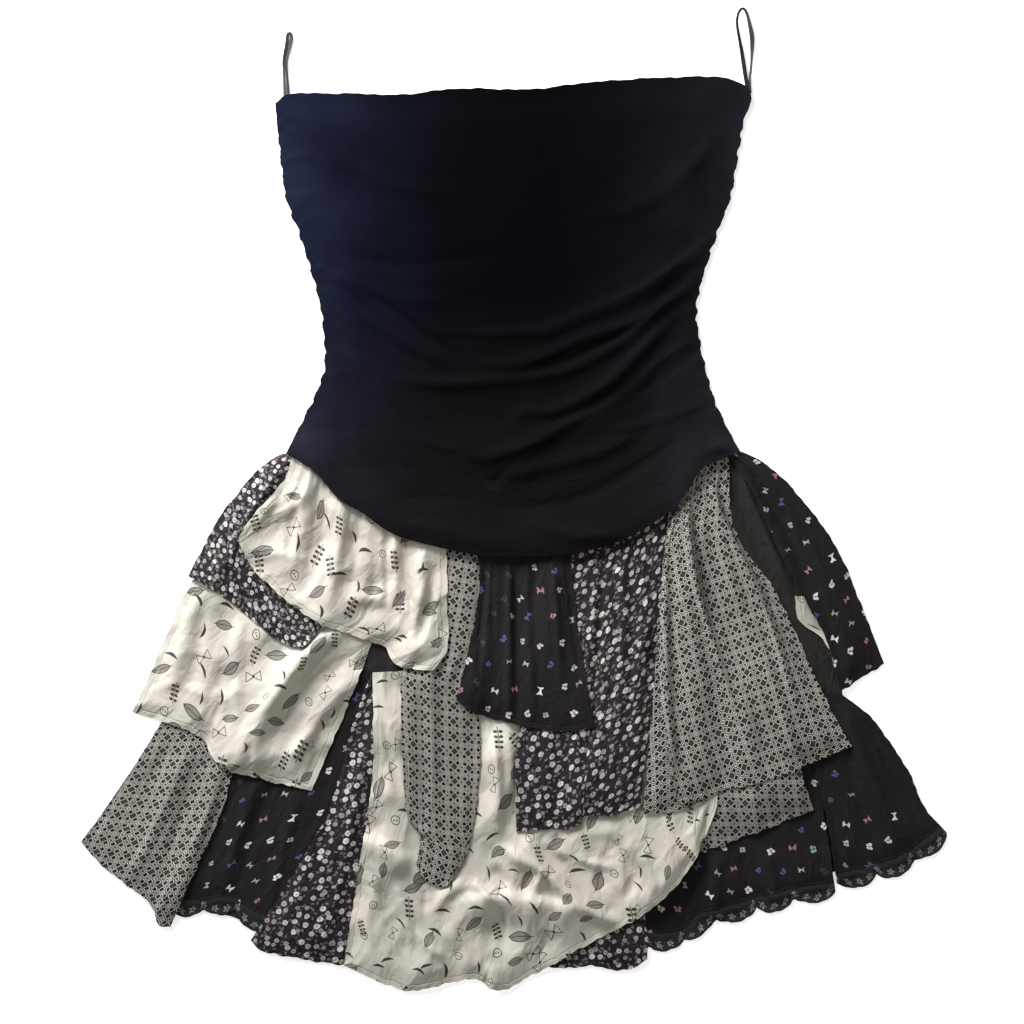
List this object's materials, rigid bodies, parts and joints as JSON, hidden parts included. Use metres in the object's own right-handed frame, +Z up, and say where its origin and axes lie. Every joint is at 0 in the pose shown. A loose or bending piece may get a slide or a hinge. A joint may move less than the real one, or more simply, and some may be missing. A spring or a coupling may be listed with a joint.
{
  "type": "tube dress",
  "caption": "Strapless short dress laid out flat: a smooth dark jersey bodice with a dropped, curved waist and a skirt of loose overlapping patchwork panels with hanger loops.",
  "frame": {"origin": "on the surface that the dress lies on, in the middle of the laid-out outline", "axes": "+Z up out of the cloth's front face, +Y along the dress from the hem to the neckline, +X to the right of the laid-out dress"},
  "size_m": [0.6942, 0.7856, 0.019],
  "materials": {
    "jersey": "fine ribless knit, matt",
    "black_voile": "thin plain weave, matt",
    "white_satin": "soft satin sheen, small dark printed motifs",
    "dotted_lawn": "fine plain weave, small printed dots",
    "lattice_lawn": "fine plain weave, small printed lattice",
    "butterfly_voile": "thin weave, scattered small butterflies and bows",
    "lace": "scalloped embroidered lace, matt",
    "ribbon": "narrow satin ribbon"
  },
  "bodies": {
    "root": {"bodice_back": "jersey", "bodice_front": "jersey", "hanger_loop_left": "ribbon", "hanger_loop_right": "ribbon", "lace_lower_left": "lace", "lace_lower_right": "lace", "lace_side_right": "lace", "long_dots_right": "dotted_lawn", "long_lattice_centre": "lattice_lawn", "long_lattice_pleat": "lattice_lawn", "long_lattice_right": "lattice_lawn", "lower_black_right": "butterfly_voile", "lower_butterfly_left": "butterfly_voile", "lower_butterfly_right": "butterfly_voile", "lower_dots_left": "dotted_lawn", "lower_dots_right": "dotted_lawn", "lower_lattice_left": "lattice_lawn", "lower_lattice_right": "lattice_lawn", "lower_white_centre": "white_satin", "middle_white_left": "white_satin", "skirt_back": "black_voile", "upper_butterfly_centre": "butterfly_voile", "upper_butterfly_right": "butterfly_voile", "upper_dots_left": "dotted_lawn", "upper_white_left": "white_satin", "white_slip_right": "white_satin", "yoke_front": "black_voile"}
  },
  "joints": []
}
